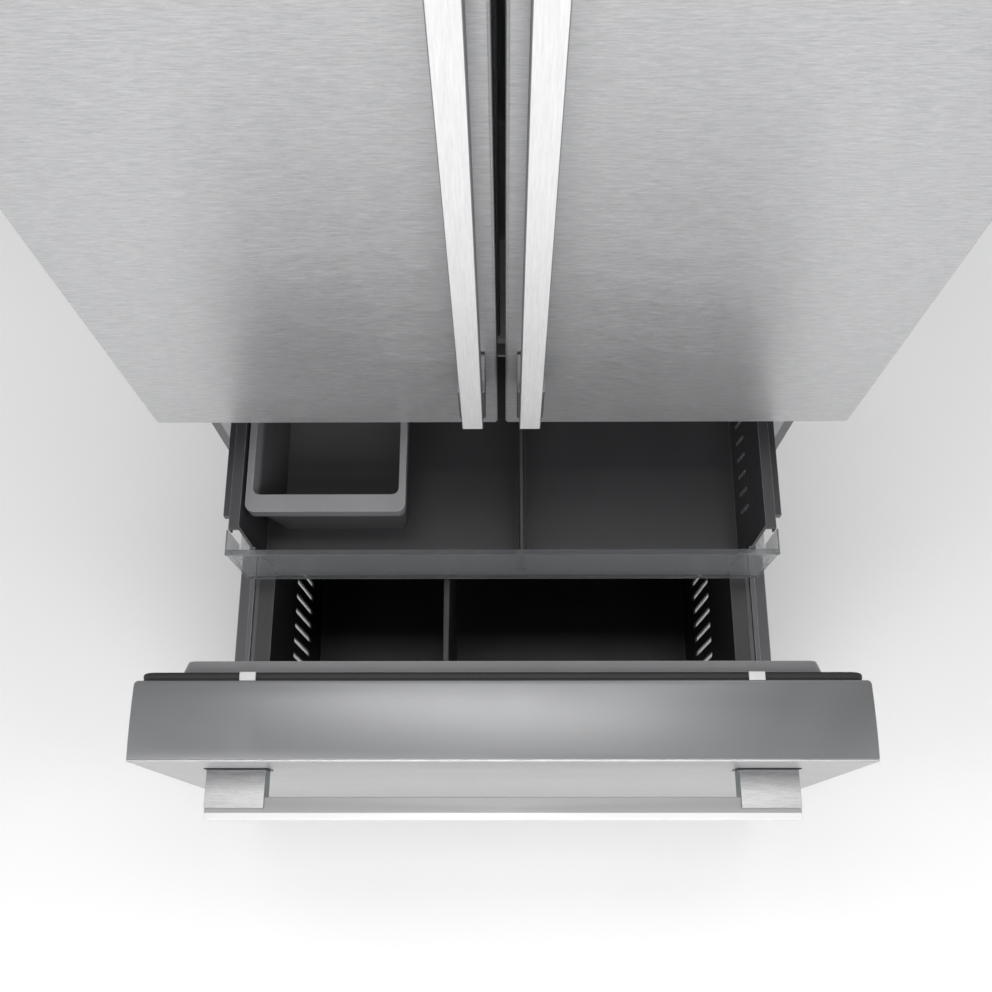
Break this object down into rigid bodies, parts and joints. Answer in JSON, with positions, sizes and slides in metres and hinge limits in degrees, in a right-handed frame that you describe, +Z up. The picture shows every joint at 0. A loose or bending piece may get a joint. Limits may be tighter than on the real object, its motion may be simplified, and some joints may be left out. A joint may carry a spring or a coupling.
{
  "type": "french door refrigerator",
  "caption": "Wide refrigerator with paired upper doors, bar handles and a pull-out lower freezer drawer holding a sliding tray, an ice bin and a deep basket.",
  "frame": {"origin": "on the floor, at the centre of the footprint with the drawer out as at rest", "axes": "+Z up, -Y towards the person who opens it, +X to that person's right"},
  "size_m": [0.908, 1.2176, 1.816],
  "materials": {
    "stainless_brushed": "brushed stainless sheet",
    "stainless_bar": "brushed stainless bar",
    "metallic_paint": "metallic grey paint",
    "galvanised": "zinc-coated steel",
    "rail_paint": "dark satin paint",
    "foam": "rigid foam",
    "white_liner": "satin plastic",
    "grey_liner": "satin plastic",
    "dark_plastic": "satin dark plastic",
    "ice_bin_plastic": "satin grey plastic",
    "clear_plastic": "clear plastic",
    "shelf_pane": "tempered glass",
    "gasket": "soft black rubber",
    "clip_plastic": "light grey plastic",
    "black_metal": "black paint",
    "bare_aluminium": "bare aluminium",
    "fan_plastic": "black plastic",
    "valve_plastic": "light plastic"
  },
  "bodies": {
    "cabinet": {"cabinet_shell": "metallic_paint", "cabinet_insulation": "foam", "back_panel": "galvanised", "fridge_liner": "white_liner", "freezer_liner": "grey_liner", "center_rail": "metallic_paint", "base_frame": "galvanised", "leveling_feet": "gasket", "toe_grille": "dark_plastic", "hinge_brackets": "metallic_paint", "hinge_covers": "dark_plastic", "air_duct": "white_liner", "control_panel": "white_liner", "shelf_ladders": "galvanised", "shelf_frames": "grey_liner", "shelf_glass": "shelf_pane", "crisper_cover": "grey_liner", "evaporator_coil": "bare_aluminium", "evaporator_cover": "white_liner", "compressor": "black_metal", "condenser_coil": "black_metal", "fan_shroud": "galvanised", "machine_cover": "galvanised", "power_inlet": "fan_plastic", "water_valve": "valve_plastic", "cabinet_slides": "galvanised"},
    "left_door": {"left_door_panel": "stainless_brushed", "left_door_liner": "white_liner", "left_door_gasket": "gasket", "left_handle_bar": "stainless_bar", "left_handle_brackets": "stainless_bar", "left_door_bins": "clear_plastic"},
    "mullion_flap": {"mullion_flap": "grey_liner"},
    "right_door": {"right_door_panel": "stainless_brushed", "right_door_liner": "white_liner", "right_door_gasket": "gasket", "right_handle_bar": "stainless_bar", "right_handle_brackets": "stainless_bar", "right_door_bins": "clear_plastic"},
    "dairy_lid": {"dairy_lid": "clear_plastic"},
    "freezer_drawer": {"drawer_panel": "stainless_brushed", "drawer_cap": "metallic_paint", "drawer_liner": "dark_plastic", "drawer_gasket": "gasket", "drawer_clips": "clip_plastic", "drawer_handle_bar": "stainless_bar", "drawer_handle_brackets": "stainless_bar", "drawer_rails": "rail_paint", "lower_bin": "dark_plastic", "bin_divider": "dark_plastic"},
    "slide_middles": {"slide_middles": "galvanised"},
    "upper_tray": {"tray_body": "dark_plastic", "tray_front": "clear_plastic", "tray_divider": "dark_plastic"},
    "ice_bin": {"ice_bin": "ice_bin_plastic"},
    "left_crisper": {"left_crisper": "clear_plastic"},
    "right_crisper": {"right_crisper": "clear_plastic"},
    "condenser_fan": {"condenser_fan": "fan_plastic"},
    "evaporator_fan": {"evaporator_fan": "fan_plastic"},
    "rear_rollers": {"rear_rollers": "fan_plastic"}
  },
  "joints": [
    {"name": "left_door_hinge", "type": "hinge", "parent": "cabinet", "child": "left_door", "pos_m": [-0.438, -0.0562, 1.266], "axis": [0, 0, -1], "range_deg": [0, 125]},
    {"name": "mullion_fold", "type": "hinge", "parent": "left_door", "child": "mullion_flap", "pos_m": [-0.052, 0.0088, 1.255], "axis": [0, 0, 1], "range_deg": [0, 90]},
    {"name": "right_door_hinge", "type": "hinge", "parent": "cabinet", "child": "right_door", "pos_m": [0.438, -0.0562, 1.266], "axis": [0, 0, 1], "range_deg": [0, 125]},
    {"name": "dairy_lid_hinge", "type": "hinge", "parent": "right_door", "child": "dairy_lid", "pos_m": [0.236, 0.0828, 1.702], "axis": [1, 0, 0], "range_deg": [0, 85]},
    {"name": "drawer_slide", "type": "slide", "parent": "cabinet", "child": "freezer_drawer", "axis": [0, -1, 0], "range_m": [-0.4346, 0]},
    {"name": "slide_middle_travel", "type": "slide", "parent": "cabinet", "child": "slide_middles", "axis": [0, -1, 0], "range_m": [-0.2173, 0]},
    {"name": "tray_slide", "type": "slide", "parent": "cabinet", "child": "upper_tray", "axis": [0, -1, 0], "range_m": [-0.29, 0]},
    {"name": "ice_bin_lift", "type": "slide", "parent": "upper_tray", "child": "ice_bin", "axis": [0, 0, 1], "range_m": [0, 0.04]},
    {"name": "left_crisper_slide", "type": "slide", "parent": "cabinet", "child": "left_crisper", "axis": [0, -1, 0], "range_m": [0, 0.09]},
    {"name": "right_crisper_slide", "type": "slide", "parent": "cabinet", "child": "right_crisper", "axis": [0, -1, 0], "range_m": [0, 0.09]},
    {"name": "condenser_fan_spin", "type": "hinge", "parent": "cabinet", "child": "condenser_fan", "pos_m": [-0.034, 0.5288, 0.14], "axis": [1, 0, 0], "continuous": true},
    {"name": "evaporator_fan_spin", "type": "hinge", "parent": "cabinet", "child": "evaporator_fan", "pos_m": [0, 0.5288, 0.628], "axis": [0, 1, 0], "continuous": true},
    {"name": "rear_roller_spin", "type": "hinge", "parent": "cabinet", "child": "rear_rollers", "pos_m": [0, 0.5388, 0.019], "axis": [1, 0, 0], "continuous": true}
  ],
  "couplings": [
    {"joint": "mullion_fold", "follows": "left_door_hinge", "ratio": 0.72},
    {"joint": "slide_middle_travel", "follows": "drawer_slide", "ratio": 0.5},
    {"joint": "tray_slide", "follows": "drawer_slide", "ratio": 0.6672}
  ]
}
